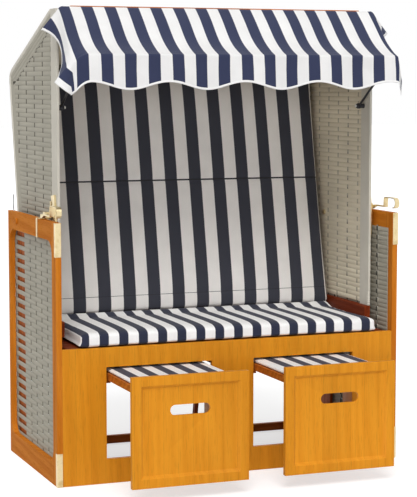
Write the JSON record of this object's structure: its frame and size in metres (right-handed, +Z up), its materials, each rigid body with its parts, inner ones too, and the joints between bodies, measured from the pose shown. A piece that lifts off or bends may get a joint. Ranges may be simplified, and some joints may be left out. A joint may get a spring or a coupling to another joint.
{
  "type": "hooded beach chair",
  "caption": "Hooded beach chair: wooden base with woven sides, tilting woven hood, striped cushions, canopy on a folding bow, pull-out footrests",
  "frame": {"origin": "on the floor, in the middle of the outline of the whole chair", "axes": "+X to the right of someone facing the chair, +Y from the front to the back, +Z up"},
  "size_m": [1.2099, 0.988, 1.4965],
  "materials": {
    "front_wood": "orange-brown glaze with a slight sheen",
    "side_wood": "red-brown glaze with a slight sheen",
    "inner_wood": "dark red-brown glaze, matt",
    "wicker": "flat woven plastic strands, grey-beige",
    "rim": "smooth pale wrapping along the hood's edge",
    "striped_cloth": "woven cloth with navy and white stripes",
    "brass": "polished brass",
    "pin_steel": "plain steel",
    "black_metal": "black satin paint"
  },
  "bodies": {
    "base": {"bottom_cap_left": "brass", "bottom_cap_right": "brass", "catch_block_left": "brass", "catch_block_right": "brass", "front_panel": "front_wood", "rear_bottom_rail": "side_wood", "rear_pin_left": "pin_steel", "rear_pin_right": "pin_steel", "rear_stile_left": "side_wood", "rear_stile_right": "side_wood", "rear_top_rail": "inner_wood", "runner_left_a": "inner_wood", "runner_left_b": "inner_wood", "runner_right_a": "inner_wood", "runner_right_b": "inner_wood", "seat_bearer_left": "inner_wood", "seat_bearer_right": "inner_wood", "seat_board": "inner_wood", "seat_cushion": "striped_cloth", "seat_leg_left_a": "inner_wood", "seat_leg_left_b": "inner_wood", "seat_leg_right_a": "inner_wood", "seat_leg_right_b": "inner_wood", "side_frame_left": "side_wood", "side_frame_right": "side_wood", "side_weave_left": "wicker", "side_weave_right": "wicker", "tilt_bolt_left": "brass", "tilt_bolt_right": "brass", "top_cap_left": "brass", "top_cap_right": "brass"},
    "hood": {"backrest_board": "inner_wood", "backrest_cushion": "striped_cloth", "bow_bracket_left": "black_metal", "bow_bracket_right": "black_metal", "canopy_cloth": "striped_cloth", "hood_back": "wicker", "hood_cross_rail": "inner_wood", "hood_post_left": "rim", "hood_post_right": "rim", "hood_roof": "wicker", "hood_side_left": "wicker", "hood_side_right": "wicker", "hood_sill_left": "inner_wood", "hood_sill_right": "inner_wood", "hood_top_rail": "front_wood", "tilt_rack_left": "brass", "tilt_rack_right": "brass"},
    "canopy_bow": {"canopy_bow": "black_metal"},
    "lever_left": {"release_lever_left": "brass"},
    "lever_right": {"release_lever_right": "brass"},
    "footrest_left": {"footrest_board_left": "side_wood", "footrest_frame_left": "side_wood", "footrest_front_left": "front_wood", "footrest_pad_left": "striped_cloth"},
    "footrest_right": {"footrest_board_right": "side_wood", "footrest_frame_right": "side_wood", "footrest_front_right": "front_wood", "footrest_pad_right": "striped_cloth"}
  },
  "joints": [
    {"name": "hood_tilt", "type": "hinge", "parent": "base", "child": "hood", "pos_m": [0, 0.254, 0.8], "axis": [-1, 0, 0], "range_deg": [0, 40]},
    {"name": "canopy_fold", "type": "hinge", "parent": "hood", "child": "canopy_bow", "pos_m": [0, -0.051, 1.181], "axis": [-1, 0, 0], "range_deg": [0, 45], "deforming": ["canopy_cloth"]},
    {"name": "lever_left_lift", "type": "hinge", "parent": "base", "child": "lever_left", "pos_m": [-0.57, -0.039, 0.838], "axis": [-1, 0, 0], "range_deg": [-4, 16]},
    {"name": "lever_right_lift", "type": "hinge", "parent": "base", "child": "lever_right", "pos_m": [0.57, -0.039, 0.838], "axis": [-1, 0, 0], "range_deg": [-4, 16]},
    {"name": "footrest_left_slide", "type": "slide", "parent": "base", "child": "footrest_left", "axis": [0, 1, 0], "range_m": [-0.024, 0.262]},
    {"name": "footrest_right_slide", "type": "slide", "parent": "base", "child": "footrest_right", "axis": [0, 1, 0], "range_m": [-0.024, 0.262]}
  ]
}
